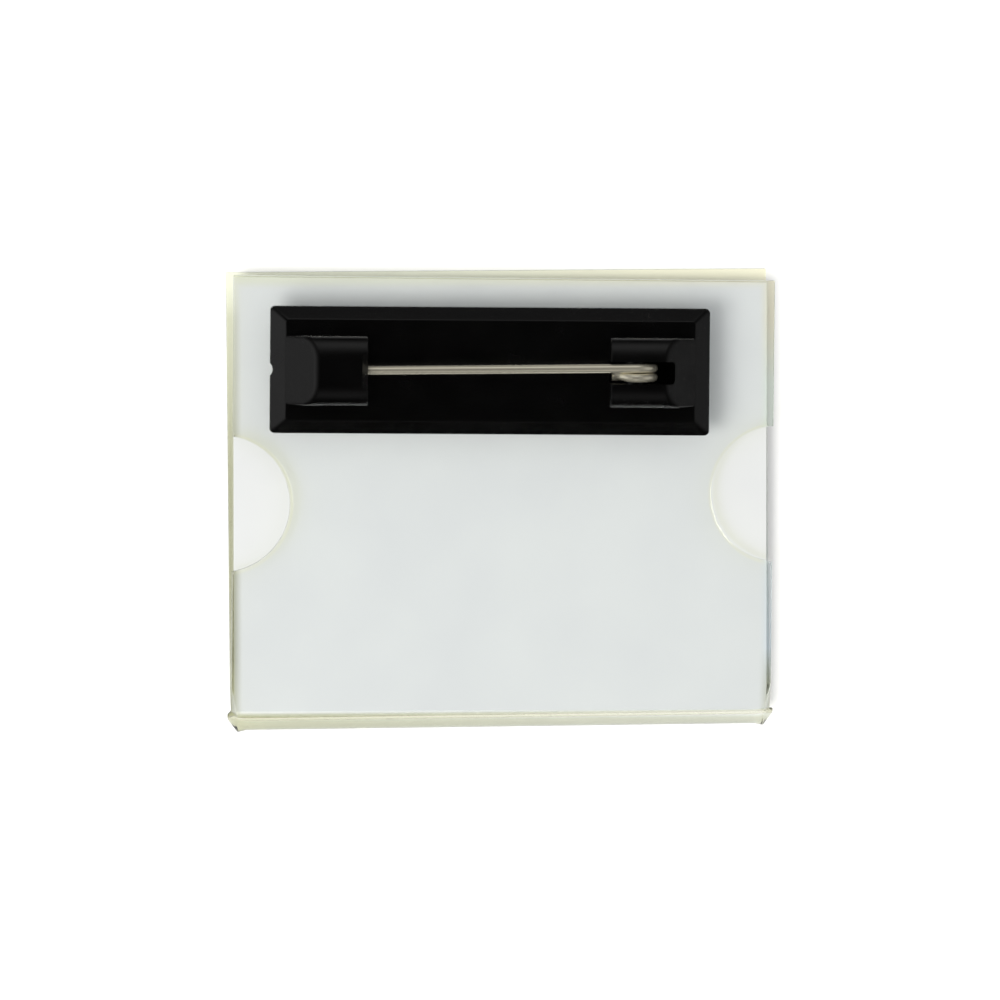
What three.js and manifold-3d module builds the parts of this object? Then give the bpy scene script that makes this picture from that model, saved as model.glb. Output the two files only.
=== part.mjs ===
// A clear acrylic name badge holder with a plain card and a stick-on bar pin.
// Millimetres, +Z up. The badge lies on its front face with the pin side up:
// +X is the long side, +Y runs from the bent edge of the sheet to its open edge.

import * as THREE from 'three';
import { mergeVertices } from 'three/addons/utils/BufferGeometryUtils.js';
import Module from 'manifold-3d';

const wasm = await Module();
wasm.setup();

// Holder: one clear sheet, heated along a line and bent double
const sheetWidth = 55.45;
const sheetThickness = 1.2;
const pocketGap = 1.0;
const frontHeight = 46.86;
const backHeight = 46.17;
const foldSkew = THREE.MathUtils.degToRad(0.48);
const foldSlant = THREE.MathUtils.degToRad(0.54);
const frontTopSlant = THREE.MathUtils.degToRad(0.31);
const backTopSlant = THREE.MathUtils.degToRad(-0.69);
const notchRadius = 7.0;
const leftNotchDepth = 5.9;
const rightNotchDepth = 6.3;
const leftNotchHeight = 23.05;
const rightNotchHeight = 23.95;
const flareOut = 0.35;
const flareIn = 0.7;
const flareDrop = 0.2;
const flareWidth = 1.6;
const flareHeight = 2.6;

// Card: a slip of white card in the pocket
const cardThickness = 0.35;
const cardSideMargin = 0.35;
const cardTopMargin = 0.2;
const cardFloorGap = 0.3;
const cardSeatGap = 0.5;

// Foam pad: holds the bar to the back panel
const padLength = 43.4;
const padWidth = 11.4;
const padThickness = 0.7;
const padSeatGap = 0.05;

// Bar: one black moulding, a bevelled plate with a block at each end
const barLength = 45;
const barWidth = 13;
const barPlateHeight = 2.0;
const barLip = 0.9;
const barEndBevelRun = 1.57;
const barSideBevelRun = 1.3;
const barCornerRadius = 0.38;
const barTopMargin = 2.96;
const barOffset = -1.24;
const barTurn = THREE.MathUtils.degToRad(-0.5);
const gateRadius = 0.92;
const gateDepth = 0.27;

// Blocks: loaf-shaped housings for the coil and for the needle's point
const blockHeight = 3.2;
const blockHalfWidth = 3.6;
const blockSideDraft = 0.15;
const blockWallHeight = 1.6;
const blockTopHalfWidth = 1.15;
const blockEndDraft = 0.2;
const rampRun = 3.0;
const coilBlockLength = 8.8;
const catchBlockLength = 8.29;
const slotFloor = 0.45;
const slotSideGap = 0.2;
const slotEndGap = 1.68;
const slotMouthGap = 0.31;
const catchSideGap = 0.35;
const catchRoofGap = 0.13;
const catchEndGap = 0.6;
const catchMouthDepth = 0.6;
const catchMouthHeight = 0.8;
const catchMouthHalfWidth = 1.9;

// Wire: one sprung steel wire, a coil and a straight pointed needle
const wireDiameter = 0.92;
const coilRadius = 1.83;
const coilTurnGap = 0.06;
const coilSeatGap = 0.27;
const coilFloorGap = 0.31;
const needleSideOffset = 0.5;
const needleReach = 4.0;
const needleTipLift = 1.25;
const needleTipSide = 0;
const needlePointLength = 4.0;
const needleRootGap = 0.3;
const needlePivotInset = 0.2;
const tailEndGap = 0.3;

// Facets of the round shapes
const bendSteps = 10;
const notchSides = 72;
const shoulderSteps = 6;
const cornerSteps = 3;
const wireSides = 10;
const coilStepsPerTurn = 20;

// How far a cutting shape runs past what it cuts, and the sinking of joined shapes
const cutOverrun = 2;
const joinDepth = 0.5;
const mergeDistance = 1e-5;

// Sizes that follow from those above
const holderThickness = 2 * sheetThickness + pocketGap;
const bendRadius = holderThickness / 2;
const bendInnerRadius = pocketGap / 2;
const barBase = holderThickness + 2 * padSeatGap + padThickness;
const blockTop = barPlateHeight + blockHeight;
const rampFoot = barLength / 2 - barEndBevelRun;
const coilBlockInner = rampFoot - coilBlockLength;
const catchBlockInner = rampFoot - catchBlockLength;
const wireRadius = wireDiameter / 2;
const coilOuterRadius = coilRadius + wireRadius;
const coilX = coilBlockInner + slotMouthGap + coilOuterRadius;
const coilZ = slotFloor + coilFloorGap + coilOuterRadius;
const coilPitch = wireDiameter + coilTurnGap;
const slotEnd = coilX + coilOuterRadius + slotEndGap;
const pegRadius = coilRadius - wireRadius - coilSeatGap;
const coilTop = new THREE.Vector3(coilX, needleSideOffset, coilZ + coilRadius);
const needleTip = new THREE.Vector3(
  -catchBlockInner - needleReach,
  needleTipSide,
  barPlateHeight + needleTipLift,
);
const needleRootX = coilBlockInner - needlePivotInset - needleRootGap / 2;
const needleRoot = pointOnNeedle(needleRootX);
const leadInStart = pointOnNeedle(needleRootX + needleRootGap);

// Finishes
const acrylic = new THREE.MeshStandardMaterial({
  color: 0xdfe6ea, roughness: 0.05, metalness: 0, transparent: true, opacity: 0.35,
});
const whiteCard = new THREE.MeshStandardMaterial({ color: 0xf4f4f1, roughness: 0.9, metalness: 0 });
const whiteFoam = new THREE.MeshStandardMaterial({ color: 0xe9e7e0, roughness: 0.95, metalness: 0 });
const blackPlastic = new THREE.MeshStandardMaterial({ color: 0x0b0b0c, roughness: 0.25, metalness: 0 });
const springSteel = new THREE.MeshStandardMaterial({ color: 0xd9d4c4, roughness: 0.22, metalness: 1 });

// The point at a given X on the straight line from the top of the coil to the needle's tip
function pointOnNeedle(x) {
  return coilTop.clone().lerp(needleTip, (coilX - x) / (coilX - needleTip.x));
}

// A closed geometry as a solid for joining and cutting, and back again
function solidOf(geometry) {
  const bare = geometry.clone();
  bare.deleteAttribute('normal');
  bare.deleteAttribute('uv');
  const merged = mergeVertices(bare, mergeDistance);
  return new wasm.Manifold(new wasm.Mesh({
    numProp: 3,
    vertProperties: merged.attributes.position.array,
    triVerts: Uint32Array.from(merged.index.array),
  }));
}

function geometryOf(solid) {
  const mesh = solid.getMesh();
  const geometry = new THREE.BufferGeometry();
  geometry.setAttribute('position', new THREE.BufferAttribute(mesh.vertProperties, mesh.numProp));
  geometry.setIndex(new THREE.BufferAttribute(mesh.triVerts, 1));
  geometry.computeVertexNormals();
  return geometry;
}

// A solid through equal rings of points. Its ends are filled from the flat outline, which runs
// anticlockwise as seen from the end that the rings run towards.
function loft(rings, outline) {
  const count = outline.length;
  const faces = [];
  for (let ring = 0; ring < rings.length - 1; ring++) {
    for (let i = 0; i < count; i++) {
      const a = ring * count + i;
      const b = ring * count + (i + 1) % count;
      faces.push(a, b, b + count, a, b + count, a + count);
    }
  }
  const last = (rings.length - 1) * count;
  for (const [a, b, c] of THREE.ShapeUtils.triangulateShape(outline, [])) {
    faces.push(a, c, b);
    faces.push(last + a, last + b, last + c);
  }
  const geometry = new THREE.BufferGeometry().setFromPoints(rings.flat());
  geometry.setIndex(faces);
  return geometry;
}

// A straight prism along X from an outline of (y, z), along Y from (z, x) or along Z from (x, y)
const axisX = new THREE.Vector3(1, 0, 0);
const axisY = new THREE.Vector3(0, 1, 0);
const axisZ = new THREE.Vector3(0, 0, 1);
const alongX = new THREE.Matrix4().makeBasis(axisY, axisZ, axisX);
const alongY = new THREE.Matrix4().makeBasis(axisZ, axisX, axisY);
const alongZ = new THREE.Matrix4().makeBasis(axisX, axisY, axisZ);

function prism(outline, direction, from, to) {
  const shape = new THREE.Shape(outline);
  const geometry = new THREE.ExtrudeGeometry(shape, { depth: to - from, bevelEnabled: false });
  geometry.translate(0, 0, from);
  geometry.applyMatrix4(direction);
  return solidOf(geometry);
}

// A box between two corners
function block(low, high) {
  const size = high.clone().sub(low);
  const geometry = new THREE.BoxGeometry(size.x, size.y, size.z);
  geometry.translate(low.x + size.x / 2, low.y + size.y / 2, low.z + size.z / 2);
  return solidOf(geometry);
}

// An upright round cutter
function uprightCutter(radius, x, y, low, high) {
  const geometry = new THREE.CylinderGeometry(radius, radius, high - low, notchSides);
  geometry.rotateX(Math.PI / 2);
  geometry.translate(x, y, (low + high) / 2);
  return solidOf(geometry);
}

// One face of the bent sheet as (y, z) points with the side it is on: -1 front, 1 back,
// and its share of the flare that the heating leaves round the bend
function sheetFace(radius) {
  const face = [];
  const straights = [
    { top: frontHeight, side: -1 },
    { top: backHeight, side: 1 },
  ];
  const [front, back] = straights.map(({ top, side }) => [
    { y: top, z: bendRadius + side * radius, side, flare: 0 },
    { y: bendRadius + flareHeight, z: bendRadius + side * radius, side, flare: 0 },
  ]);
  face.push(...front);
  for (let step = 0; step <= bendSteps; step++) {
    const angle = Math.PI * step / bendSteps;
    face.push({
      y: bendRadius - radius * Math.sin(angle),
      z: bendRadius - radius * Math.cos(angle),
      side: 0,
      flare: 1,
    });
  }
  face.push(...back.reverse());
  return face;
}

// Leans each panel a little to one side, the two the opposite way. Bend and cuts aren't quite square.
function skewed(x, y, side) {
  const above = Math.max(0, y - bendRadius);
  const [height, topSlant] = side < 0 ? [frontHeight, frontTopSlant] : [backHeight, backTopSlant];
  const slope = THREE.MathUtils.lerp(foldSlant, topSlant, above / (height - bendRadius));
  return { x: x + foldSkew * side * above, y: y + slope * x };
}

function makeHolder() {
  const outer = sheetFace(bendRadius).map((point) => ({ ...point, spread: -flareIn, drop: flareDrop }));
  const inner = sheetFace(bendInnerRadius).map((point) => ({ ...point, spread: flareOut, drop: 0 }));
  const section = [...outer.reverse(), ...inner];
  const columns = [
    { x: -sheetWidth / 2, end: -1 },
    { x: -sheetWidth / 2 + flareWidth, end: 0 },
    { x: sheetWidth / 2 - flareWidth, end: 0 },
    { x: sheetWidth / 2, end: 1 },
  ];
  const rings = columns.map(({ x, end }) => section.map((point) => {
    const place = skewed(x + end * point.spread * point.flare, point.y, point.side);
    return new THREE.Vector3(place.x, place.y - Math.abs(end) * point.drop * point.flare, point.z);
  }));
  const outline = section.map(({ y, z }) => new THREE.Vector2(y, z));
  let holder = solidOf(loft(rings, outline));
  const notches = [
    { end: -1, height: leftNotchHeight, depth: leftNotchDepth },
    { end: 1, height: rightNotchHeight, depth: rightNotchDepth },
  ];
  for (const { end, height, depth } of notches) {
    const edge = skewed(end * sheetWidth / 2, height, 1).x;
    const x = edge + end * (notchRadius - depth);
    const low = holderThickness - sheetThickness - pocketGap / 2;
    const cutter = uprightCutter(notchRadius, x, height, low, holderThickness + cutOverrun);
    holder = holder.subtract(cutter);
  }
  return geometryOf(holder);
}

// The card's top edge is trimmed along the back panel's
function makeCard() {
  const half = sheetWidth / 2 - cardSideMargin;
  const foot = sheetThickness + cardSeatGap;
  const low = sheetThickness + cardFloorGap;
  const topAt = (x) => backHeight - cardTopMargin + backTopSlant * x;
  const outline = [
    new THREE.Vector2(-half, foot),
    new THREE.Vector2(half, foot),
    new THREE.Vector2(half, topAt(half)),
    new THREE.Vector2(-half, topAt(-half)),
  ];
  return geometryOf(prism(outline, alongZ, low, low + cardThickness));
}

function makePad() {
  const low = new THREE.Vector3(-padLength / 2, -padWidth / 2, -padSeatGap - padThickness);
  const high = new THREE.Vector3(padLength / 2, padWidth / 2, -padSeatGap);
  return geometryOf(block(low, high));
}

// One level of the bar's plate: a rectangle with rounded corners, drawn in from the full size
function plateRing(endInset, sideInset, z) {
  const ring = [];
  const halfLength = barLength / 2 - endInset - barCornerRadius;
  const halfWidth = barWidth / 2 - sideInset - barCornerRadius;
  const corners = [[1, 1], [-1, 1], [-1, -1], [1, -1]];
  corners.forEach(([alongSign, acrossSign], corner) => {
    for (let step = 0; step <= cornerSteps; step++) {
      const angle = (corner + step / cornerSteps) * Math.PI / 2;
      ring.push(new THREE.Vector3(
        alongSign * halfLength + barCornerRadius * Math.cos(angle),
        acrossSign * halfWidth + barCornerRadius * Math.sin(angle),
        z,
      ));
    }
  });
  return ring;
}

function makePlate() {
  const rings = [
    plateRing(0, 0, 0),
    plateRing(0, 0, barLip),
    plateRing(barEndBevelRun, barSideBevelRun, barPlateHeight),
  ];
  return solidOf(loft(rings, rings[0].map(({ x, y }) => new THREE.Vector2(x, y))));
}

// The loaf-shaped section shared by both blocks, from foot to rounded shoulders
function blockSection() {
  const low = barPlateHeight - joinDepth;
  const shoulderHalfWidth = blockHalfWidth - blockSideDraft;
  const shoulderRun = shoulderHalfWidth - blockTopHalfWidth;
  const shoulderRise = blockHeight - blockWallHeight;
  const half = [[blockHalfWidth, low], [blockHalfWidth, barPlateHeight]];
  for (let step = 0; step <= shoulderSteps; step++) {
    const angle = Math.PI / 2 * step / shoulderSteps;
    half.push([
      blockTopHalfWidth + shoulderRun * Math.cos(angle),
      barPlateHeight + blockWallHeight + shoulderRise * Math.sin(angle),
    ]);
  }
  const other = half.map(([y, z]) => [-y, z]).reverse();
  return [...half, ...other].map(([y, z]) => new THREE.Vector2(y, z));
}

// A block from its upright inner end to the ramp at the bar's end, on the side that end gives
function makeBlock(inner, end) {
  const low = barPlateHeight - joinDepth;
  const corners = [
    [low, inner],
    [barPlateHeight, inner],
    [blockTop, inner + blockEndDraft],
    [blockTop, rampFoot - rampRun],
    [barPlateHeight, rampFoot],
    [low, rampFoot],
  ];
  const side = corners.map(([z, x]) => new THREE.Vector2(z, end * x));
  const reach = blockHalfWidth + cutOverrun;
  const loaf = prism(blockSection(), alongX, -barLength / 2, barLength / 2);
  return loaf.intersect(prism(side, alongY, -reach, reach));
}

// The open slot that the coil sits in, with a half-round far end
function coilSlot() {
  const low = needleSideOffset - coilPitch - wireRadius - slotSideGap;
  const high = needleSideOffset + wireRadius + slotSideGap;
  const radius = (high - low) / 2;
  const middle = (high + low) / 2;
  const start = new THREE.Vector3(coilBlockInner, low, slotFloor);
  const stop = new THREE.Vector3(slotEnd - radius, high, blockTop + cutOverrun);
  const slot = block(start, stop);
  const mouthLow = new THREE.Vector3(coilBlockInner - cutOverrun, low, barPlateHeight);
  const mouth = block(mouthLow, stop);
  const end = uprightCutter(radius, slotEnd - radius, middle, slotFloor, blockTop + cutOverrun);
  return slot.add(mouth).add(end);
}

// The space that the needle's point rests in, open to the mouth and to the -Y side
function catchRoom() {
  const needleAtMouth = pointOnNeedle(-catchBlockInner);
  const low = new THREE.Vector3(needleTip.x - catchEndGap, -blockHalfWidth - cutOverrun, barPlateHeight);
  const high = new THREE.Vector3(
    -catchBlockInner + cutOverrun,
    needleAtMouth.y + wireRadius + catchSideGap,
    needleAtMouth.z + wireRadius + catchRoofGap,
  );
  return block(low, high);
}

// The sloped dip in the top of the catch block's inner end, which guides the needle in
function catchMouth() {
  const high = blockTop + cutOverrun;
  const corners = [
    [blockTop - catchMouthHeight, -catchBlockInner + cutOverrun],
    [blockTop - catchMouthHeight, -catchBlockInner],
    [blockTop, -catchBlockInner - catchMouthDepth],
    [high, -catchBlockInner - catchMouthDepth],
    [high, -catchBlockInner + cutOverrun],
  ].map(([z, x]) => new THREE.Vector2(z, x));
  return prism(corners, alongY, needleTipSide - catchMouthHalfWidth, needleTipSide + catchMouthHalfWidth);
}

// The moulded peg across the slot, which holds the coil
function coilPeg() {
  const length = 2 * (blockHalfWidth - blockSideDraft) - 2 * joinDepth;
  const geometry = new THREE.CylinderGeometry(pegRadius, pegRadius, length, wireSides * 2);
  geometry.translate(coilX, 0, coilZ);
  return solidOf(geometry);
}

function makeBar() {
  const gateX = -barLength / 2 - gateRadius + gateDepth;
  const gate = uprightCutter(gateRadius, gateX, 0, -cutOverrun, barPlateHeight + cutOverrun);
  const bar = makePlate()
    .add(makeBlock(coilBlockInner, 1))
    .add(makeBlock(catchBlockInner, -1))
    .subtract(gate)
    .subtract(coilSlot())
    .subtract(catchRoom())
    .subtract(catchMouth())
    .add(coilPeg());
  return geometryOf(bar);
}

// The wire from the needle's root over the top of the coil, one and a half turns round the
// peg and back along the slot's floor. It steps sideways in the second half of the first turn.
function makeCoil() {
  const turns = 1.5;
  const points = [leadInStart, leadInStart.clone().lerp(coilTop, 0.5)];
  for (let step = 0; step <= turns * coilStepsPerTurn; step++) {
    const turn = step / coilStepsPerTurn;
    const angle = Math.PI / 2 - 2 * Math.PI * turn;
    const shift = THREE.MathUtils.smoothstep(turn, 0.5, 1);
    points.push(new THREE.Vector3(
      coilX + coilRadius * Math.cos(angle),
      needleSideOffset - coilPitch * shift,
      coilZ + coilRadius * Math.sin(angle),
    ));
  }
  const tail = points[points.length - 1].clone();
  tail.x = coilBlockInner + tailEndGap;
  points.push(tail);
  const path = new THREE.CatmullRomCurve3(points, false, 'centripetal');
  const section = new THREE.Shape().absarc(0, 0, wireRadius, 0, 2 * Math.PI);
  return new THREE.ExtrudeGeometry(section, {
    steps: 2 * points.length,
    curveSegments: wireSides,
    extrudePath: path,
  });
}

// The straight needle, turned about its own length and ground to a point
function makeNeedle() {
  const length = needleRoot.distanceTo(needleTip);
  const shoulder = length - needlePointLength;
  const profile = [
    [0, 0],
    [wireRadius, 0],
    [wireRadius, shoulder],
    [wireRadius * 0.75, shoulder + needlePointLength * 0.45],
    [wireRadius * 0.4, shoulder + needlePointLength * 0.8],
    [0, length],
  ].map(([radius, along]) => new THREE.Vector2(radius, along));
  return new THREE.LatheGeometry(profile, wireSides);
}

function piece(name, geometry, material) {
  const mesh = new THREE.Mesh(geometry, material);
  mesh.name = name;
  return mesh;
}

const needle = piece('pin_needle', makeNeedle(), springSteel);
needle.position.copy(needleRoot);
needle.quaternion.setFromUnitVectors(axisY, needleTip.clone().sub(needleRoot).normalize());

const barPin = new THREE.Group();
barPin.add(
  piece('adhesive_pad', makePad(), whiteFoam),
  piece('pin_bar', makeBar(), blackPlastic),
  piece('pin_coil', makeCoil(), springSteel),
  needle,
);
barPin.position.set(barOffset, backHeight - barTopMargin - barWidth / 2, barBase);
barPin.rotation.z = barTurn;

const badge = new THREE.Group();
badge.add(
  piece('holder', makeHolder(), acrylic),
  piece('insert_card', makeCard(), whiteCard),
  barPin,
);

// The origin is under the middle of the whole badge
badge.updateMatrixWorld(true);
const bounds = new THREE.Box3().setFromObject(badge, true);
const middle = bounds.getCenter(new THREE.Vector3());
badge.position.set(-middle.x, -middle.y, -bounds.min.z);

export default badge;
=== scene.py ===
# %% [markdown]
# A name badge holder, seen from the back. It is one sheet of clear acrylic bent double, with a
# white card in the pocket and a black stick-on bar pin. The lesson makes each piece the way its
# maker would: sheet is cut, bent and polished, plastic is moulded, wire is drawn and wound.

# %% Load the frame
import math
import bmesh
import bpy
from mathutils import Matrix, Vector


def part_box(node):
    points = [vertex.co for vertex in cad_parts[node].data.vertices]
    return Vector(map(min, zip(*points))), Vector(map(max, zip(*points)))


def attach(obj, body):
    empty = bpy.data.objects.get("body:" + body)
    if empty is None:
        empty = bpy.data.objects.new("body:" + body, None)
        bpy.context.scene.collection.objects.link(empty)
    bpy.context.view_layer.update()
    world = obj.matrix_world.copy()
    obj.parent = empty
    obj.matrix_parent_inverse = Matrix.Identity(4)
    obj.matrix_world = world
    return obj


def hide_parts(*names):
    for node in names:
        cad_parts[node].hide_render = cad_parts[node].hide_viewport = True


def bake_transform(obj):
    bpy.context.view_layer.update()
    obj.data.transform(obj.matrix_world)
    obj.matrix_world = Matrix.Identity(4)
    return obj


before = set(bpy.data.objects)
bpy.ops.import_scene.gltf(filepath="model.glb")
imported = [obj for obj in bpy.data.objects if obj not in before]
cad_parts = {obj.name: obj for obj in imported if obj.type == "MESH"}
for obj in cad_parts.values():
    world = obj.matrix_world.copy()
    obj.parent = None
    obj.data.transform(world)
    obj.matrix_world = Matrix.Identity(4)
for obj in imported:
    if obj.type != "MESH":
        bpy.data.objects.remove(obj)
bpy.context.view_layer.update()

# %% [markdown]
# The real sizes, in millimetres. The holder's and the bar's places come from the frame, so that
# the looks sit where the working parts are.

# %% Sizes of the real pieces
MM = 0.001
SHEET_WIDTH = 55.45
SHEET_THICKNESS = 1.2
POCKET_GAP = 1.0
FRONT_HEIGHT = 46.86
BACK_HEIGHT = 46.17
FOLD_SKEW = math.radians(0.48)
FOLD_SLANT = math.radians(0.54)
FRONT_TOP_SLANT = math.radians(0.31)
BACK_TOP_SLANT = math.radians(-0.69)
NOTCH_RADIUS = 7.0
LEFT_NOTCH_DEPTH = 5.9
RIGHT_NOTCH_DEPTH = 6.3
LEFT_NOTCH_HEIGHT = 23.05
RIGHT_NOTCH_HEIGHT = 23.95
FLARE_OUT = 0.35
FLARE_IN = 0.7
FLARE_DROP = 0.2
FLARE_WIDTH = 1.6
FLARE_HEIGHT = 2.6
NOTCH_RIM = 0.5
SHEET_RIM = 0.12
BAR_LENGTH = 45.0
BAR_WIDTH = 13.0
BAR_HEIGHT = 2.0
BAR_LIP = 0.9
BAR_END_BEVEL = 1.57
BAR_SIDE_BEVEL = 1.3
BAR_TURN = math.radians(-0.5)
BAR_RIM = 0.1
RAMP_FILLET = 0.42
STRAY_DISTANCE = 0.004
NEAR = 0.01
BLOCK_HEIGHT = 3.2
BLOCK_HALF_WIDTH = 3.6
WIRE_DIAMETER = 0.92
COIL_RADIUS = 1.83

bend_radius = SHEET_THICKNESS + POCKET_GAP / 2
holder_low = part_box("holder")[0]
bar_low, bar_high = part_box("pin_bar")
card_low, card_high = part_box("insert_card")
pad_low, pad_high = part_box("adhesive_pad")
fold_y = holder_low[1] / MM + FLARE_DROP + FOLD_SLANT * (SHEET_WIDTH / 2 - FLARE_IN)
bar_place = Vector((
    (bar_low[0] + bar_high[0]) / 2,
    (bar_low[1] + bar_high[1]) / 2,
    bar_low[2],
))
print("fold at y", round(fold_y, 3), "mm, bar at", [round(v / MM, 2) for v in bar_place])

# %% [markdown]
# The camera stands almost straight above the badge, as a product photographer's does, and leans
# a few degrees to the left and towards the open edge.

# %% Camera
CAMERA_DISTANCE = 1000.0
CAMERA_LEAN_LEFT = math.radians(3.2)
CAMERA_LEAN_TOP = math.radians(3.0)
SEEN_WIDTH = 102.34
AIM = Vector((-0.19, 0.18, 4.45)) * MM

camera_data = bpy.data.cameras.new("product camera")
camera = bpy.data.objects.new("product_camera", camera_data)
bpy.context.scene.collection.objects.link(camera)
towards = Vector((-math.tan(CAMERA_LEAN_LEFT), math.tan(CAMERA_LEAN_TOP), 1.0)).normalized()
camera.location = AIM + towards * CAMERA_DISTANCE * MM
across = Vector((0.0, 1.0, 0.0)).cross(towards).normalized()
up = towards.cross(across)
camera.rotation_euler = Matrix((across, up, towards)).transposed().to_euler()
camera_data.sensor_width = 36.0
camera_data.lens = 36.0 * CAMERA_DISTANCE / SEEN_WIDTH
camera_data.clip_start = 0.01
bpy.context.scene.camera = camera
print("lens", round(camera_data.lens, 1), "mm")

# %% [markdown]
# Every colour below is an ordinary sRGB hex value. Blender works in linear light, so one
# function turns them. Another adds a shader node with its settings and links in one call.

# %% Colour and node helpers
def linear(hex_colour):
    """An sRGB hex colour as linear light with full alpha."""
    channels = [int(hex_colour[i:i + 2], 16) / 255 for i in (1, 3, 5)]
    return tuple(c / 12.92 if c <= 0.04045 else ((c + 0.055) / 1.055) ** 2.4 for c in channels) + (1.0,)


def add_node(tree, kind, settings=None, **links):
    """Adds a node. Settings go to its own values, links to its inputs: a socket or a plain value."""
    node = tree.nodes.new(kind)
    for key, value in (settings or {}).items():
        setattr(node, key, value)
    for key, value in links.items():
        socket = node.inputs[int(key[1:])] if key[1:].isdigit() else node.inputs[key.replace("_", " ")]
        if isinstance(value, bpy.types.NodeSocket):
            tree.links.new(value, socket)
        else:
            socket.default_value = value
    return node


def new_material(name):
    """An empty node material with its output."""
    material = bpy.data.materials.new(name)
    material.use_nodes = True
    tree = material.node_tree
    tree.nodes.clear()
    return material, tree, tree.nodes.new("ShaderNodeOutputMaterial")


def ramp(tree, factor, stops):
    """A colour ramp through (place, hex colour) stops."""
    node = add_node(tree, "ShaderNodeValToRGB", Fac=factor)
    band = node.color_ramp
    while len(band.elements) < len(stops):
        band.elements.new(0.5)
    for element, (place, colour) in zip(band.elements, stops):
        element.position = place
        element.color = linear(colour)
    return node.outputs["Color"]


# %% [markdown]
# Edit-mode helpers. Operators act on what is selected, so each piece starts from an empty
# selection, and faces, edges or corners are then picked by their place.

# %% Modelling helpers
def begin(add, **options):
    """Deselects all, adds a primitive and opens it in edit mode."""
    bpy.ops.object.select_all(action="DESELECT")
    add(**options)
    bpy.ops.object.mode_set(mode="EDIT")
    return bpy.context.object


def box_piece(low, high):
    """A box between two corners in millimetres, open in edit mode."""
    middle = [(a + b) / 2 * MM for a, b in zip(low, high)]
    piece = begin(bpy.ops.mesh.primitive_cube_add, size=MM, location=middle)
    size = [b - a for a, b in zip(low, high)]
    bpy.ops.transform.resize(value=size, center_override=middle)
    return piece


def place_of(piece, corner):
    """A corner's place in millimetres in the world."""
    return (piece.matrix_world @ corner) / MM


def pick(piece, kind, wanted):
    """In edit mode, selects the corners, edges or faces for which wanted is true."""
    bpy.ops.mesh.select_mode(type=kind)
    bpy.ops.mesh.select_all(action="DESELECT")
    mesh = bmesh.from_edit_mesh(piece.data)
    parts = {"VERT": mesh.verts, "EDGE": mesh.edges, "FACE": mesh.faces}[kind]
    count = 0
    for part in parts:
        corners = [part] if kind == "VERT" else part.verts
        if wanted([place_of(piece, c.co) for c in corners]):
            part.select_set(True)
            count += 1
    mesh.select_flush_mode()
    bmesh.update_edit_mesh(piece.data)
    return count


def finish_edit(piece, name):
    """Leaves edit mode and puts the object's origin at the world's, with its place in its mesh."""
    bpy.ops.object.mode_set(mode="OBJECT")
    piece.name = name
    piece.data.name = name
    bpy.ops.object.transform_apply(location=True, rotation=True, scale=True)
    return piece


def only(piece):
    """Makes one object the selected and active one."""
    bpy.ops.object.select_all(action="DESELECT")
    piece.select_set(True)
    bpy.context.view_layer.objects.active = piece


def apply_modifier(piece, kind, **settings):
    """Adds a modifier with its settings and applies it."""
    only(piece)
    modifier = piece.modifiers.new(kind.lower(), kind)
    for key, value in settings.items():
        setattr(modifier, key, value)
    bpy.ops.object.modifier_apply(modifier=modifier.name)


def combine(piece, tool, operation):
    """Joins or cuts a piece with a tool body, which is then deleted."""
    before = len(piece.data.polygons)
    apply_modifier(piece, "BOOLEAN", object=tool, operation=operation, solver="EXACT")
    print(piece.name, operation.lower(), tool.name, before, "to", len(piece.data.polygons), "faces")
    bpy.data.objects.remove(tool, do_unlink=True)


def round_sharp_edges(width, degrees):
    """In edit mode, rounds every edge sharper than an angle. It suits a blank without cuts."""
    bpy.ops.mesh.select_mode(type="EDGE")
    bpy.ops.mesh.select_all(action="DESELECT")
    bpy.ops.mesh.edges_select_sharp(sharpness=math.radians(degrees))
    bpy.ops.mesh.bevel(offset=width * MM, segments=3, profile=0.5, affect="EDGES")


def smooth(piece, degrees=40):
    """Smooth shading with crisp edges, weighted so that large flats stay flat."""
    only(piece)
    bpy.ops.object.mode_set(mode="EDIT")
    bpy.ops.mesh.select_all(action="SELECT")
    bpy.ops.mesh.remove_doubles(threshold=STRAY_DISTANCE * MM)
    bpy.ops.object.mode_set(mode="OBJECT")
    bpy.ops.object.shade_smooth_by_angle(angle=math.radians(degrees))
    apply_modifier(piece, "WEIGHTED_NORMAL", mode="FACE_AREA", weight=100, keep_sharp=True)


# %% [markdown]
# The holder starts as the flat front panel. Its lower edge is spun half round, as the strip
# heater lets the sheet bend, and drawn up into the back panel. Solidify gives the sheet its
# thickness on the inside.

# %% Bend the sheet
half_width = SHEET_WIDTH / 2
bend_y = fold_y + bend_radius
front_top = fold_y + FRONT_HEIGHT
back_top = fold_y + BACK_HEIGHT
BEND_STEPS = 24

middle = (0.0, (bend_y + front_top) / 2 * MM, 0.0)
holder = begin(bpy.ops.mesh.primitive_plane_add, size=MM, location=middle)
bpy.ops.transform.resize(value=(SHEET_WIDTH, front_top - bend_y, 1.0), center_override=middle)
bpy.ops.mesh.flip_normals()
pick(holder, "EDGE", lambda ends: all(abs(p.y - bend_y) < NEAR for p in ends))
bpy.ops.mesh.spin(
    steps=BEND_STEPS,
    angle=math.pi,
    center=(0.0, bend_y * MM, bend_radius * MM),
    axis=(1.0, 0.0, 0.0),
)
bpy.ops.mesh.extrude_edges_move(
    TRANSFORM_OT_translate={"value": (0.0, (back_top - bend_y) * MM, 0.0)}
)
bpy.ops.mesh.select_all(action="SELECT")
bpy.ops.mesh.remove_doubles(threshold=1e-6)
bpy.ops.mesh.normals_make_consistent(inside=False)
finish_edit(holder, "holder_sheet")
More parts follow.
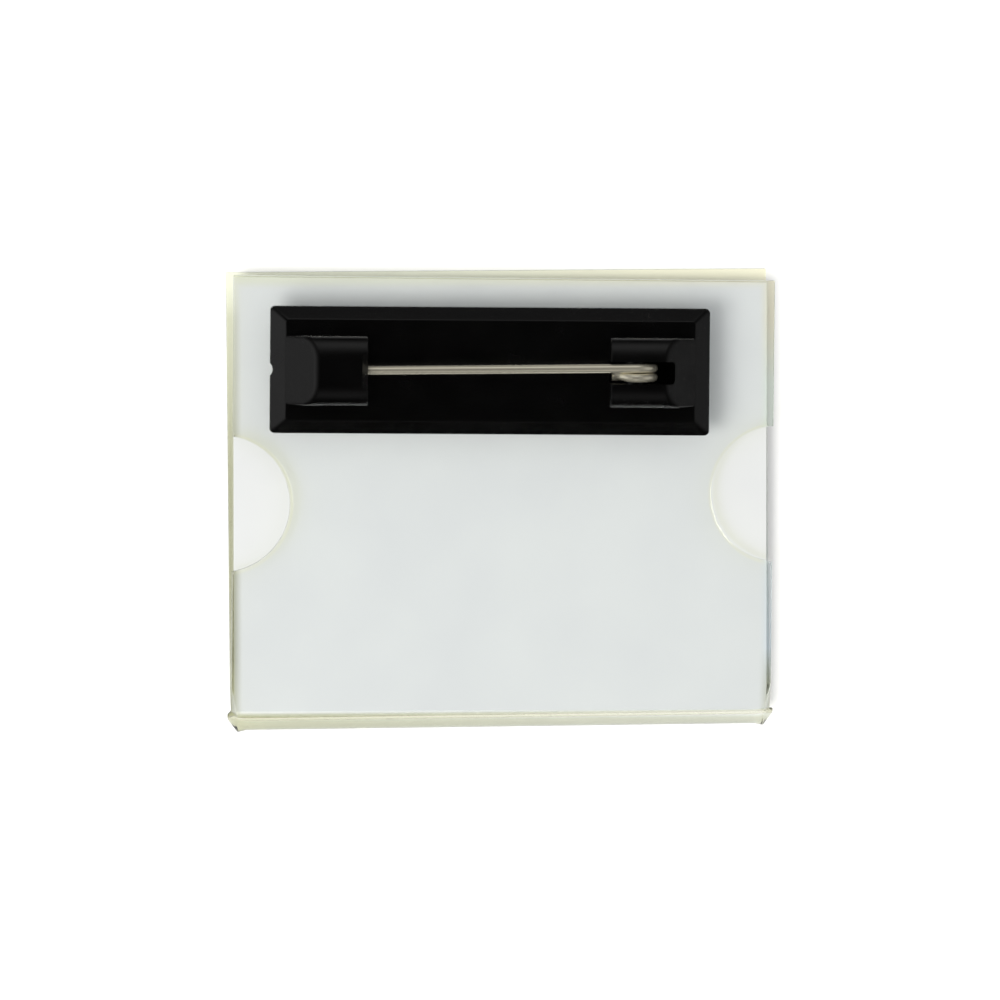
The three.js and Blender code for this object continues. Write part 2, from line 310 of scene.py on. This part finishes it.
lowest = min(holder.data.polygons, key=lambda face: face.center.z)
print("front panel faces", "down" if lowest.normal.z < 0 else "up")

# %% Thicken it and let the ends of the bend spread
apply_modifier(holder, "SOLIDIFY", thickness=SHEET_THICKNESS * MM, offset=-1.0, use_even_offset=True)
bpy.ops.object.mode_set(mode="EDIT")
cuts = [((end * (half_width - FLARE_WIDTH), 0.0), (1.0, 0.0)) for end in (-1, 1)]
cuts.append(((0.0, bend_y + FLARE_HEIGHT), (0.0, 1.0)))
for (x, y), (across, along) in cuts:
    bpy.ops.mesh.select_all(action="SELECT")
    bpy.ops.mesh.bisect(plane_co=(x * MM, y * MM, 0.0), plane_no=(across, along, 0.0))


def from_bend_axis(place):
    """Distance in millimetres from the line that the sheet is bent round."""
    return math.hypot(min(0.0, place.y - bend_y), place.z - bend_radius)


middle_radius = bend_radius - SHEET_THICKNESS / 2
for end in (-1, 1):
    for outer, spread, drop in ((True, -FLARE_IN, FLARE_DROP), (False, FLARE_OUT, 0.0)):
        pick(holder, "VERT", lambda ends: (
            end * ends[0].x > half_width - NEAR
            and ends[0].y < bend_y + NEAR
            and (from_bend_axis(ends[0]) > middle_radius) == outer
        ))
        bpy.ops.transform.translate(value=(end * spread * MM, -drop * MM, 0.0))

# %% Skew the panels a little, as the real ones are
NEAR_COLUMN = 0.75
NEAR_ROW = 0.5
columns = [end * (half_width - inset) for end in (-1, 1) for inset in (0.0, FLARE_WIDTH)]
rows = [(0, 0.0, FOLD_SLANT)]
for side, top, slant in ((-1, front_top, FRONT_TOP_SLANT), (1, back_top, BACK_TOP_SLANT)):
    share = FLARE_HEIGHT / (top - bend_y)
    rows.append((side, FLARE_HEIGHT, FOLD_SLANT * (1 - share) + slant * share))
    rows.append((side, top - bend_y, slant))
for side, above, slope in rows:
    for x in columns:
        count = pick(holder, "VERT", lambda ends: (
            abs(ends[0].x - x) < NEAR_COLUMN
            and (ends[0].y < bend_y + NEAR if side == 0 else abs(ends[0].y - bend_y - above) < NEAR_ROW)
            and side * (ends[0].z - bend_radius) >= 0.0
        ))
        bpy.ops.transform.translate(value=(FOLD_SKEW * side * above * MM, slope * x * MM, 0.0))
    print("row at", round(above, 2), "mm, side", side, "has", count, "corners in its last column")
round_sharp_edges(SHEET_RIM, 50)
finish_edit(holder, "holder_sheet")

# %% [markdown]
# The finger notches are milled through the back panel only. Their rims are rounded over more
# than the sheet's other edges, which are only broken with a scraper.

# %% Cut the finger notches
def panel_edge(end, height):
    """The x of the back panel's side edge at a height over the fold, in millimetres."""
    return end * half_width + FOLD_SKEW * (height - bend_radius)


NOTCH_CUT_MIDDLE = 4.0
NOTCH_CUT_HEIGHT = 4.6
notches = []
for end, height, depth in (
    (-1, LEFT_NOTCH_HEIGHT, LEFT_NOTCH_DEPTH),
    (1, RIGHT_NOTCH_HEIGHT, RIGHT_NOTCH_DEPTH),
):
    centre_x = panel_edge(end, height) + end * (NOTCH_RADIUS - depth)
    centre = Vector((centre_x, fold_y + height, NOTCH_CUT_MIDDLE))
    notches.append(centre)
    cutter = begin(
        bpy.ops.mesh.primitive_cylinder_add,
        vertices=160,
        radius=NOTCH_RADIUS * MM,
        depth=NOTCH_CUT_HEIGHT * MM,
        location=centre * MM,
    )
    finish_edit(cutter, "notch_cutter")
    combine(holder, cutter, "DIFFERENCE")

only(holder)
bpy.ops.object.mode_set(mode="EDIT")
top_z = 2 * bend_radius


def on_notch_rim(ends):
    """True for an edge along a notch's upper rim."""
    return all(
        abs(p.z - top_z) < NEAR
        and any(abs((p - c).to_2d().length - NOTCH_RADIUS) < 0.02 for c in notches)
        for p in ends
    )


rims = pick(holder, "EDGE", on_notch_rim)
bpy.ops.mesh.bevel(offset=NOTCH_RIM * MM, segments=5, profile=0.5, affect="EDGES")
finish_edit(holder, "holder_sheet")
smooth(holder)
print("notch rim edges", rims, "holder faces", len(holder.data.polygons))

# %% [markdown]
# Clear acrylic bends light with an index of 1.49 and loses a little of it on the way, slightly
# more in red than in blue. Lamps reach what is behind it, so rays that carry lamp light or
# diffuse light go straight through a film of much the same tint.
#
# A sheet gathers light along itself, and its edges look tinted by it. Painted light and shade,
# laid on by place, stand in for that within a millimetre or so of the edges: a painted olive
# shade down the left, painted light from yellow at the top over green to blue down the right,
# a painted olive shade round the bend and painted light along the top.

# %% Acrylic, polished and cut
# Painted light and shade down the left and right edges, from the fold (0) to the front panel's top (1).
LEFT_PAINTED_LIGHT_AND_SHADE = [(0.0, "#CCCCB4"), (0.06, "#B0B098"), (0.6, "#B8B8A0"), (0.97, "#DCDDC8"), (1.0, "#FAFBEA")]
RIGHT_PAINTED_LIGHT_AND_SHADE = [(0.0, "#CCCCB4"), (0.08, "#F0F8FF"), (0.5, "#F8FFFD"), (0.85, "#F6FFF4"), (0.97, "#FFFBE4")]
PAINTED_EDGE_LIGHT_REACH = 1.3
RIPPLES_PER_MM = 0.09


def reach(tree, value, inside, edge):
    """Rises from 0 inside the sheet to 1 at its edge, in millimetres along one axis."""
    return add_node(
        tree, "ShaderNodeMapRange", {"interpolation_type": "SMOOTHSTEP"},
        Value=value, From_Min=inside * MM, From_Max=edge * MM,
    ).outputs["Result"]


def tint_and_painted_edge_light(tree, coordinates, clear):
    """The clear tint in the middle of the sheet, running into painted light and shade along its edges."""
    place = add_node(tree, "ShaderNodeSeparateXYZ", Vector=coordinates).outputs
    height = reach(tree, place["Y"], fold_y, front_top)
    at_right = reach(tree, place["X"], -half_width / 2, half_width)
    sides = add_node(
        tree, "ShaderNodeMix", {"data_type": "RGBA"},
        _0=at_right, _6=ramp(tree, height, LEFT_PAINTED_LIGHT_AND_SHADE), _7=ramp(tree, height, RIGHT_PAINTED_LIGHT_AND_SHADE),
    ).outputs[2]
    aside = add_node(tree, "ShaderNodeMath", {"operation": "ABSOLUTE"}, _0=place["X"]).outputs["Value"]
    near_edge = reach(tree, aside, half_width - PAINTED_EDGE_LIGHT_REACH, half_width)
    for inside, edge in (
        (back_top - PAINTED_EDGE_LIGHT_REACH, back_top),
        (bend_y, fold_y + bend_radius / 2),
    ):
        near_edge = add_node(
            tree, "ShaderNodeMath", {"operation": "MAXIMUM"},
            _0=near_edge, _1=reach(tree, place["Y"], inside, edge),
        ).outputs["Value"]
    return add_node(
        tree, "ShaderNodeMix", {"data_type": "RGBA"}, _0=near_edge, _6=linear(clear), _7=sides,
    ).outputs[2]


def acrylic(name, tint, shade, roughness):
    """Clear acrylic: glass-like for the eye, a tinted film for lamp light."""
    material, tree, output = new_material(name)
    coordinates = add_node(tree, "ShaderNodeTexCoord").outputs["Object"]
    # The base colour carries the painted edge light and shade.
    tint = tint_and_painted_edge_light(tree, coordinates, tint)
    waves = add_node(
        tree, "ShaderNodeTexNoise", Vector=coordinates, Scale=RIPPLES_PER_MM / MM, Detail=1.0,
    ).outputs["Fac"]
    bump = add_node(tree, "ShaderNodeBump", Strength=0.05, Distance=0.0002, Height=waves)
    clear = add_node(
        tree, "ShaderNodeBsdfPrincipled",
        Base_Color=tint, Roughness=roughness, IOR=1.49, Transmission_Weight=1.0,
        Normal=bump.outputs["Normal"],
    ).outputs["BSDF"]
    film = add_node(tree, "ShaderNodeBsdfTransparent", Color=linear(shade)).outputs["BSDF"]
    rays = add_node(tree, "ShaderNodeLightPath").outputs
    lamp = add_node(
        tree, "ShaderNodeMath", {"operation": "MAXIMUM"},
        _0=rays["Is Shadow Ray"], _1=rays["Is Diffuse Ray"],
    ).outputs["Value"]
    mixed = add_node(tree, "ShaderNodeMixShader", _0=lamp, _1=clear, _2=film).outputs["Shader"]
    tree.links.new(mixed, output.inputs["Surface"])
    return material


POLISHED, CUT, MILLED = range(3)
holder.data.materials.clear()
for material in (
    acrylic("polished clear acrylic", "#FAFBFB", "#FBFCFC", 0.0),
    acrylic("scraped acrylic edge", "#F8F9F0", "#FAFAF4", 0.2),
    acrylic("milled acrylic notch", "#FFFEEC", "#F0F0DC", 0.15),
):
    holder.data.materials.append(material)


def holder_finish(face):
    """The finish of one face of the holder: polished, cut or milled."""
    centre = face.center / MM
    in_bend = centre.y < bend_y + 0.1
    if abs(face.normal.z) > 0.97 or (in_bend and abs(face.normal.x) < 0.2):
        return POLISHED
    at_notch = any((centre - notch).to_2d().length < NOTCH_RADIUS + 2 * NOTCH_RIM for notch in notches)
    return MILLED if at_notch and centre.z > bend_radius else CUT


cut_faces = 0
for face in holder.data.polygons:
    face.material_index = holder_finish(face)
    cut_faces += face.material_index != POLISHED
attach(holder, "badge")
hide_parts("holder")
print("cut edge faces", cut_faces)

# %% [markdown]
# The card is a slip of white card cut on a guillotine, so its edges are square with a slight
# burr. Its top is trimmed along the back panel's. Its surface is a felt of fibres a fraction of
# a millimetre long.

# %% Card
CARD_RIM = 0.05
FIBRES_PER_MM = 2.5
CLOUDS_PER_MM = 0.12
card = box_piece([v / MM for v in card_low], [v / MM for v in card_high])
card_width = (card_high[0] - card_low[0]) / MM
pick(card, "VERT", lambda ends: ends[0].x > 0.0 and ends[0].y > 0.0)
bpy.ops.transform.translate(value=(0.0, BACK_TOP_SLANT * card_width * MM, 0.0))
finish_edit(card, "white_card")
apply_modifier(card, "BEVEL", width=CARD_RIM * MM, segments=2, limit_method="ANGLE")

material, tree, output = new_material("uncoated white card")
coordinates = add_node(tree, "ShaderNodeTexCoord").outputs["Object"]
fibres = add_node(
    tree, "ShaderNodeTexNoise", Vector=coordinates, Scale=FIBRES_PER_MM / MM, Detail=4.0,
)
clouds = add_node(
    tree, "ShaderNodeTexNoise", Vector=coordinates, Scale=CLOUDS_PER_MM / MM, Detail=2.0,
)
colour = ramp(tree, clouds.outputs["Fac"], [(0.3, "#CED0D1"), (0.7, "#D2D4D4")])
bump = add_node(tree, "ShaderNodeBump", Strength=0.15, Distance=0.00003, Height=fibres.outputs["Fac"])
shader = add_node(
    tree, "ShaderNodeBsdfPrincipled",
    Base_Color=colour, Roughness=0.85, Normal=bump.outputs["Normal"],
)
tree.links.new(shader.outputs["BSDF"], output.inputs["Surface"])
card.data.materials.append(material)
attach(card, "card")
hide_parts("insert_card")

# %% [markdown]
# The foam pad is die-cut from double-sided tape. It shows only from the side, under the bar,
# where its closed cells are fine pits in a dull white, with painted shade in the pits.

# %% Foam pad
PAD_RIM = 0.12
CELLS_PER_MM = 5.0
pad = box_piece([v / MM for v in pad_low], [v / MM for v in pad_high])
finish_edit(pad, "foam_pad")
apply_modifier(pad, "BEVEL", width=PAD_RIM * MM, segments=3, limit_method="ANGLE")
smooth(pad)

material, tree, output = new_material("white closed-cell foam")
coordinates = add_node(tree, "ShaderNodeTexCoord").outputs["Object"]
cells = add_node(tree, "ShaderNodeTexVoronoi", Vector=coordinates, Scale=CELLS_PER_MM / MM)
bump = add_node(tree, "ShaderNodeBump", Strength=0.5, Distance=0.0001, Height=cells.outputs["Distance"])
# The pits are painted darker than the cell walls around them: painted shade in the hollows.
colour = ramp(tree, cells.outputs["Distance"], [(0.0, "#C9C7BF"), (0.5, "#EDEBE4")])
shader = add_node(
    tree, "ShaderNodeBsdfPrincipled",
    Base_Color=colour, Roughness=0.9, Normal=bump.outputs["Normal"],
)
tree.links.new(shader.outputs["BSDF"], output.inputs["Surface"])
pad.data.materials.append(material)
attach(pad, "badge")
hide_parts("adhesive_pad")

# %% [markdown]
# The bar is one injection moulding. Its plate has an upright lip and a wide bevel all round.
# It is modelled lying at the origin, and turned and moved to its place at the end.

# %% Bar plate
half_length = BAR_LENGTH / 2
half_bar = BAR_WIDTH / 2
CORNER_RADIUS = 0.38
bar = box_piece((-half_length, -half_bar, 0.0), (half_length, half_bar, BAR_LIP))
pick(bar, "FACE", lambda ends: all(abs(p.z - BAR_LIP) < NEAR for p in ends))
bpy.ops.mesh.extrude_region_move(
    TRANSFORM_OT_translate={"value": (0.0, 0.0, (BAR_HEIGHT - BAR_LIP) * MM)}
)
bpy.ops.transform.resize(
    value=(1 - 2 * BAR_END_BEVEL / BAR_LENGTH, 1 - 2 * BAR_SIDE_BEVEL / BAR_WIDTH, 1.0),
    center_override=(0.0, 0.0, BAR_HEIGHT * MM),
)


def at_corner(ends):
    """True for the edges that run up the plate's four corners."""
    a, b = ends
    return abs(a.z - b.z) > 0.1


pick(bar, "EDGE", at_corner)
bpy.ops.mesh.bevel(offset=CORNER_RADIUS * MM, segments=4, profile=0.5, affect="EDGES")
round_sharp_edges(BAR_RIM, 30)
finish_edit(bar, "moulded_bar")

GATE_RADIUS = 0.92
GATE_DEPTH = 0.27
gate = begin(
    bpy.ops.mesh.primitive_cylinder_add,
    vertices=48, radius=GATE_RADIUS * MM, depth=6 * MM,
    location=((-half_length - GATE_RADIUS + GATE_DEPTH) * MM, 0.0, 0.0),
)
finish_edit(gate, "gate_cutter")
combine(bar, gate, "DIFFERENCE")

# %% [markdown]
# Each end block has the section of a loaf: steep sides, well-rounded shoulders and a narrow
# flat top. Its outer end is cut off by a ramp, which leaves a D-shaped face.

# %% End blocks
RAMP_FOOT = half_length - BAR_END_BEVEL
RAMP_RUN = 3.0
COIL_BLOCK_LENGTH = 8.8
CATCH_BLOCK_LENGTH = 8.29
TOP_HALF_WIDTH = 1.15
SHOULDER_RUN = BLOCK_HALF_WIDTH - TOP_HALF_WIDTH
SHOULDER_RISE = 1.6
JOIN_DEPTH = 0.5
block_top = BAR_HEIGHT + BLOCK_HEIGHT


def loaf_block(inner, end, name):
    """One block up to its ramp, drawn tall so that its round shoulders flatten to the real rise."""
    squeeze = SHOULDER_RISE / SHOULDER_RUN
    low_z = BAR_HEIGHT - JOIN_DEPTH
    high_z = low_z + (block_top - low_z) / squeeze
    xs = sorted((end * inner, end * RAMP_FOOT))
    piece = box_piece((xs[0], -BLOCK_HALF_WIDTH, low_z), (xs[1], BLOCK_HALF_WIDTH, high_z))
    pick(piece, "EDGE", lambda ends: (
        all(p.z > high_z - NEAR for p in ends)
        and abs(ends[0].y - ends[1].y) < NEAR
    ))
    bpy.ops.mesh.bevel(offset=SHOULDER_RUN * MM, segments=14, profile=0.5, affect="EDGES")
    bpy.ops.mesh.select_all(action="SELECT")
    bpy.ops.transform.resize(value=(1.0, 1.0, squeeze), center_override=(0.0, 0.0, low_z * MM))
    ramp_normal = Vector((end * BLOCK_HEIGHT, 0.0, RAMP_RUN)).normalized()
    foot = Vector((end * RAMP_FOOT, 0.0, BAR_HEIGHT))
    bpy.ops.mesh.bisect(plane_co=foot * MM, plane_no=ramp_normal, use_fill=True, clear_outer=True)
    pick(piece, "EDGE", lambda ends: (
        all(abs((p - foot).dot(ramp_normal)) < NEAR for p in ends)
        and max(p.z for p in ends) > BAR_HEIGHT + 0.05
    ))
    bpy.ops.mesh.bevel(offset=RAMP_FILLET * MM, segments=4, profile=0.5, affect="EDGES")
    pick(piece, "EDGE", lambda ends: all(abs(p.x - end * inner) < NEAR for p in ends))
    bpy.ops.mesh.bevel(offset=BAR_RIM * MM, segments=3, profile=0.5, affect="EDGES")
    return finish_edit(piece, name)


coil_inner = RAMP_FOOT - COIL_BLOCK_LENGTH
catch_inner = RAMP_FOOT - CATCH_BLOCK_LENGTH
combine(bar, loaf_block(coil_inner, 1, "coil_block"), "UNION")
combine(bar, loaf_block(catch_inner, -1, "catch_block"), "UNION")
print("blocks from", coil_inner, "and", -catch_inner, "mm")

# %% Coil slot, catch room and mouth
wire_radius = WIRE_DIAMETER / 2
NEEDLE_SIDE = 0.5
COIL_PITCH = 0.98
SLOT_FLOOR = 0.45
SLOT_SIDE_GAP = 0.2
SLOT_END_GAP = 1.68
SLOT_CORNER = 0.35
SLOT_MOUTH_GAP = 0.31
COIL_FLOOR_GAP = 0.31
coil_outer = COIL_RADIUS + wire_radius
coil_x = coil_inner + SLOT_MOUTH_GAP + coil_outer
coil_z = SLOT_FLOOR + COIL_FLOOR_GAP + coil_outer
slot_end = coil_x + coil_outer + SLOT_END_GAP
slot_low = NEEDLE_SIDE - COIL_PITCH - wire_radius - SLOT_SIDE_GAP
slot_high = NEEDLE_SIDE + wire_radius + SLOT_SIDE_GAP
OVERRUN = 2.0


def slot_cutter(start, floor, name):
    """An upright slot with rounded corners at its far end, open at the top."""
    cutter = box_piece((start, slot_low, floor), (slot_end, slot_high, block_top + OVERRUN))
    pick(cutter, "EDGE", lambda ends: all(abs(p.x - slot_end) < NEAR for p in ends)
         and abs(ends[0].z - ends[1].z) > 0.1)
    bpy.ops.mesh.bevel(offset=SLOT_CORNER * MM, segments=6, profile=0.5, affect="EDGES")
    return finish_edit(cutter, name)


combine(bar, slot_cutter(coil_inner, SLOT_FLOOR, "slot_cutter"), "DIFFERENCE")
combine(bar, slot_cutter(coil_inner - OVERRUN, BAR_HEIGHT, "mouth_cutter"), "DIFFERENCE")

TIP_DEPTH = 4.0
TIP_HEIGHT = 1.25
TIP_GAP = 0.6
ROOM_SIDE_GAP = 0.35
ROOM_ROOF_GAP = 0.13
needle_tip = Vector((-catch_inner - TIP_DEPTH, 0.0, BAR_HEIGHT + TIP_HEIGHT))
coil_top = Vector((coil_x, NEEDLE_SIDE, coil_z + COIL_RADIUS))
at_mouth = coil_top.lerp(needle_tip, (coil_x + catch_inner) / (coil_x - needle_tip.x))
room_side = at_mouth.y + wire_radius + ROOM_SIDE_GAP
room_roof = at_mouth.z + wire_radius + ROOM_ROOF_GAP
room = box_piece(
    (needle_tip.x - TIP_GAP, -BLOCK_HALF_WIDTH - OVERRUN, BAR_HEIGHT),
    (-catch_inner + OVERRUN, room_side, room_roof),
)
combine(bar, finish_edit(room, "room_cutter"), "DIFFERENCE")

MOUTH_DEPTH = 0.6
MOUTH_HEIGHT = 0.8
MOUTH_HALF_WIDTH = 1.9
mouth = box_piece(
    (-catch_inner - MOUTH_DEPTH, needle_tip.y - MOUTH_HALF_WIDTH, block_top - MOUTH_HEIGHT),
    (-catch_inner + OVERRUN, needle_tip.y + MOUTH_HALF_WIDTH, block_top + OVERRUN),
)
bpy.ops.mesh.bisect(
    plane_co=(-catch_inner * MM, 0.0, (block_top - MOUTH_HEIGHT) * MM),
    plane_no=(-MOUTH_HEIGHT, 0.0, -MOUTH_DEPTH),
    use_fill=True,
    clear_outer=True,
)
combine(bar, finish_edit(mouth, "mouth_cutter"), "DIFFERENCE")

PEG_GAP = 0.27
PEG_LENGTH = 5.5
peg = begin(
    bpy.ops.mesh.primitive_cylinder_add,
    vertices=32, radius=(COIL_RADIUS - wire_radius - PEG_GAP) * MM, depth=PEG_LENGTH * MM,
    location=(coil_x * MM, 0.0, coil_z * MM), rotation=(math.pi / 2, 0.0, 0.0),
)
combine(bar, finish_edit(peg, "coil_peg"), "UNION")

# %% Smooth the bar and set it in its place
smooth(bar, 32)


def seat_on_pad(piece):
    """Turns a piece made at the origin to the bar's angle and moves it to the bar's place."""
    only(piece)
    piece.rotation_euler = (0.0, 0.0, BAR_TURN)
    piece.location = bar_place
    bpy.ops.object.transform_apply(location=True, rotation=True, scale=True)


seat_on_pad(bar)
print("bar faces", len(bar.data.polygons))

# %% [markdown]
# The black styrene comes from a polished mould, so it mirrors the room softly. A faint orange
# peel breaks the reflections up, and a haze of larger patches varies the gloss a little.

# %% Black plastic
PEEL_PER_MM = 1.4
HAZE_PER_MM = 0.3
material, tree, output = new_material("black injection-moulded styrene")
coordinates = add_node(tree, "ShaderNodeTexCoord").outputs["Object"]
peel = add_node(tree, "ShaderNodeTexNoise", Vector=coordinates, Scale=PEEL_PER_MM / MM, Detail=3.0)
bump = add_node(tree, "ShaderNodeBump", Strength=0.12, Distance=0.00005, Height=peel.outputs["Fac"])
haze = add_node(tree, "ShaderNodeTexNoise", Vector=coordinates, Scale=HAZE_PER_MM / MM, Detail=2.0)
rough = add_node(
    tree, "ShaderNodeMapRange",
    Value=haze.outputs["Fac"], From_Min=0.3, From_Max=0.7, To_Min=0.2, To_Max=0.28,
)
shader = add_node(
    tree, "ShaderNodeBsdfPrincipled",
    Base_Color=linear("#020202"), Roughness=rough.outputs["Result"], IOR=1.55,
    Normal=bump.outputs["Normal"],
)
tree.links.new(shader.outputs["BSDF"], output.inputs["Surface"])
bar.data.materials.clear()
bar.data.materials.append(material)
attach(bar, "badge")
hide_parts("pin_bar")

# %% [markdown]
# The wire is one length of sprung steel: a ground point, a straight needle, one and a half
# turns round the peg and a short tail. It is drawn as a curve with a round section. Its nickel
# plating mirrors with a warm cast, and fine lines from the drawing die run along it.

# %% Wire
TURNS = 1.5
STEPS_PER_TURN = 64
STRAIGHT_STEPS = 40
TAIL_STEPS = 5
TAIL_GAP = 0.3
POINT_LENGTH = 4.0
DIE_LINES_PER_MM = 9.0


def wire_points():
    """(place in mm, share of the full radius) along the wire, from the needle's tip to the tail."""
    line = coil_top - needle_tip
    length = line.length
    points = []
    for along in (0.0, 0.15, 0.5, 1.0, 1.6, 2.3, 3.1, 4.0):
        share = along / POINT_LENGTH
        points.append((needle_tip + line * along / length, max(0.03, math.sin(share * math.pi / 2) ** 0.8)))
    for step in range(1, STRAIGHT_STEPS):
        along = POINT_LENGTH + (length - POINT_LENGTH) * step / STRAIGHT_STEPS
        points.append((needle_tip + line * along / length, 1.0))
    for step in range(int(TURNS * STEPS_PER_TURN) + 1):
        turn = step / STEPS_PER_TURN
        angle = math.pi / 2 - 2 * math.pi * turn
        across = min(1.0, max(0.0, (turn - 0.5) / 0.5))
        shift = across * across * (3 - 2 * across)
        points.append((Vector((
            coil_x + COIL_RADIUS * math.cos(angle),
            NEEDLE_SIDE - COIL_PITCH * shift,
            coil_z + COIL_RADIUS * math.sin(angle),
        )), 1.0))
    end = points[-1][0]
    tail = coil_inner + TAIL_GAP - end.x
    for step in range(1, TAIL_STEPS + 1):
        points.append((Vector((end.x + tail * step / TAIL_STEPS, end.y, end.z)), 1.0))
    return points


curve = bpy.data.curves.new("steel_wire", "CURVE")
curve.dimensions = "3D"
curve.bevel_depth = wire_radius * MM
curve.bevel_resolution = 8
curve.use_fill_caps = True
spline = curve.splines.new("POLY")
points = wire_points()
spline.points.add(len(points) - 1)
for target, (place, share) in zip(spline.points, points):
    target.co = (*(place * MM), 1.0)
    target.radius = share
wire = bpy.data.objects.new("steel_wire", curve)
bpy.context.scene.collection.objects.link(wire)
only(wire)
bpy.ops.object.convert(target="MESH")
wire = bpy.context.object
wire.name = "steel_wire"
bpy.ops.object.shade_smooth_by_angle(angle=math.radians(50))
seat_on_pad(wire)

material, tree, output = new_material("nickel-plated spring steel")
coordinates = add_node(tree, "ShaderNodeTexCoord").outputs["Object"]
stretched = add_node(tree, "ShaderNodeMapping", Vector=coordinates, Scale=(0.03, 1.0, 1.0))
drawn = add_node(
    tree, "ShaderNodeTexNoise",
    Vector=stretched.outputs["Vector"], Scale=DIE_LINES_PER_MM / MM, Detail=2.0,
)
bump = add_node(tree, "ShaderNodeBump", Strength=0.1, Distance=0.00002, Height=drawn.outputs["Fac"])
shader = add_node(
    tree, "ShaderNodeBsdfPrincipled",
    Base_Color=linear("#FAF4DE"), Metallic=0.84, Roughness=0.22, Normal=bump.outputs["Normal"],
)
tree.links.new(shader.outputs["BSDF"], output.inputs["Surface"])
wire.data.materials.clear()
wire.data.materials.append(material)
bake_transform(wire)
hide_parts("pin_coil", "pin_needle")
print("wire points", len(points))

# %% [markdown]
# A white table under an even white tent, with one large softbox at the lower left. The tent
# lights the badge, but what the black bar mirrors is the room: a window at each end, a softbox
# over the open edge, a small lamp over the bent edge, and darkness round the camera. So
# reflections see a sky of their own, and neither the table nor the lower left softbox.

# %% Stage and light
FLOOR_SIZE = 900.0
FLOOR_DROP = 0.02
bpy.ops.object.select_all(action="DESELECT")
bpy.ops.mesh.primitive_plane_add(size=FLOOR_SIZE * MM, location=(0.0, 0.0, -FLOOR_DROP * MM))
floor = bpy.context.object
floor.name = "white_table"
material, tree, output = new_material("white laminate")
shader = add_node(tree, "ShaderNodeBsdfPrincipled", Base_Color=linear("#FBFBFB"), Roughness=0.9)
tree.links.new(shader.outputs["BSDF"], output.inputs["Surface"])
floor.data.materials.append(material)
floor.visible_glossy = False


def soft_light(name, direction, distance, size, power, colour="#FFFFFF"):
    """A square area light at a distance in mm, facing the badge."""
    data = bpy.data.lights.new(name, "AREA")
    data.size = size * MM
    data.energy = power
    data.color = linear(colour)[:3]
    light = bpy.data.objects.new(name.replace(" ", "_"), data)
    bpy.context.scene.collection.objects.link(light)
    outward = Vector(direction).normalized()
    light.location = outward * distance * MM
    light.rotation_euler = outward.to_track_quat("Z", "Y").to_euler()
    light.visible_glossy = False
    return light


soft_light("key softbox", (-1.0, -0.5, 1.5), 800.0, 480.0, 5.0, "#FFFDF8")

world = bpy.data.worlds.new("studio")
bpy.context.scene.world = world
world.use_nodes = True
tree = world.node_tree
tree.nodes.clear()
TENT_STRENGTH = 1.02
ROOM_STRENGTH = 0.001
BELOW_STRENGTH = 1.2
BELOW_STARTS = -0.15
BELOW_FULL = -0.8
# Name, direction, sharpness and strength of each glow that reflections see
GLOWS = (
    ("window at the left", (-1.0, 0.0, 0.36), 6.0, 0.62),
    ("window at the right", (1.0, 0.0, 0.36), 6.0, 0.3),
    ("softbox over the open edge", (0.0, 1.0, 0.73), 13.0, 0.5),
    ("lamp over the bent edge", (0.0, -1.0, 1.0), 22.0, 0.2),
)


def glow(tree, view, name, direction, sharpness, strength):
    """A soft round glow in the sky, brightest in one direction."""
    facing = add_node(
        tree, "ShaderNodeVectorMath", {"operation": "DOT_PRODUCT", "label": name},
        _0=view, _1=tuple(Vector(direction).normalized()),
    ).outputs["Value"]
    lit = add_node(tree, "ShaderNodeMath", {"operation": "MAXIMUM"}, _0=facing, _1=0.0).outputs["Value"]
    narrow = add_node(tree, "ShaderNodeMath", {"operation": "POWER"}, _0=lit, _1=sharpness)
    return add_node(
        tree, "ShaderNodeMath", {"operation": "MULTIPLY"}, _0=narrow.outputs["Value"], _1=strength,
    ).outputs["Value"]


view = add_node(tree, "ShaderNodeTexCoord").outputs["Generated"]
height = add_node(tree, "ShaderNodeSeparateXYZ", Vector=view).outputs["Z"]
mirrored = add_node(
    tree, "ShaderNodeMapRange",
    Value=height, From_Min=BELOW_STARTS, From_Max=BELOW_FULL,
    To_Min=ROOM_STRENGTH, To_Max=BELOW_STRENGTH,
).outputs["Result"]
for details in GLOWS:
    mirrored = add_node(
        tree, "ShaderNodeMath", {"operation": "ADD"}, _0=mirrored, _1=glow(tree, view, *details),
    ).outputs["Value"]
rays = add_node(tree, "ShaderNodeLightPath").outputs
reflection = add_node(
    tree, "ShaderNodeMath", {"operation": "SUBTRACT", "use_clamp": True},
    _0=rays["Is Glossy Ray"], _1=rays["Is Transmission Ray"],
).outputs["Value"]
tent = add_node(tree, "ShaderNodeBackground", Strength=TENT_STRENGTH).outputs["Background"]
room = add_node(tree, "ShaderNodeBackground", Strength=mirrored).outputs["Background"]
output = tree.nodes.new("ShaderNodeOutputWorld")
sky = add_node(tree, "ShaderNodeMixShader", _0=reflection, _1=tent, _2=room).outputs["Shader"]
tree.links.new(sky, output.inputs["Surface"])
bpy.context.scene.view_settings.view_transform = "Standard"
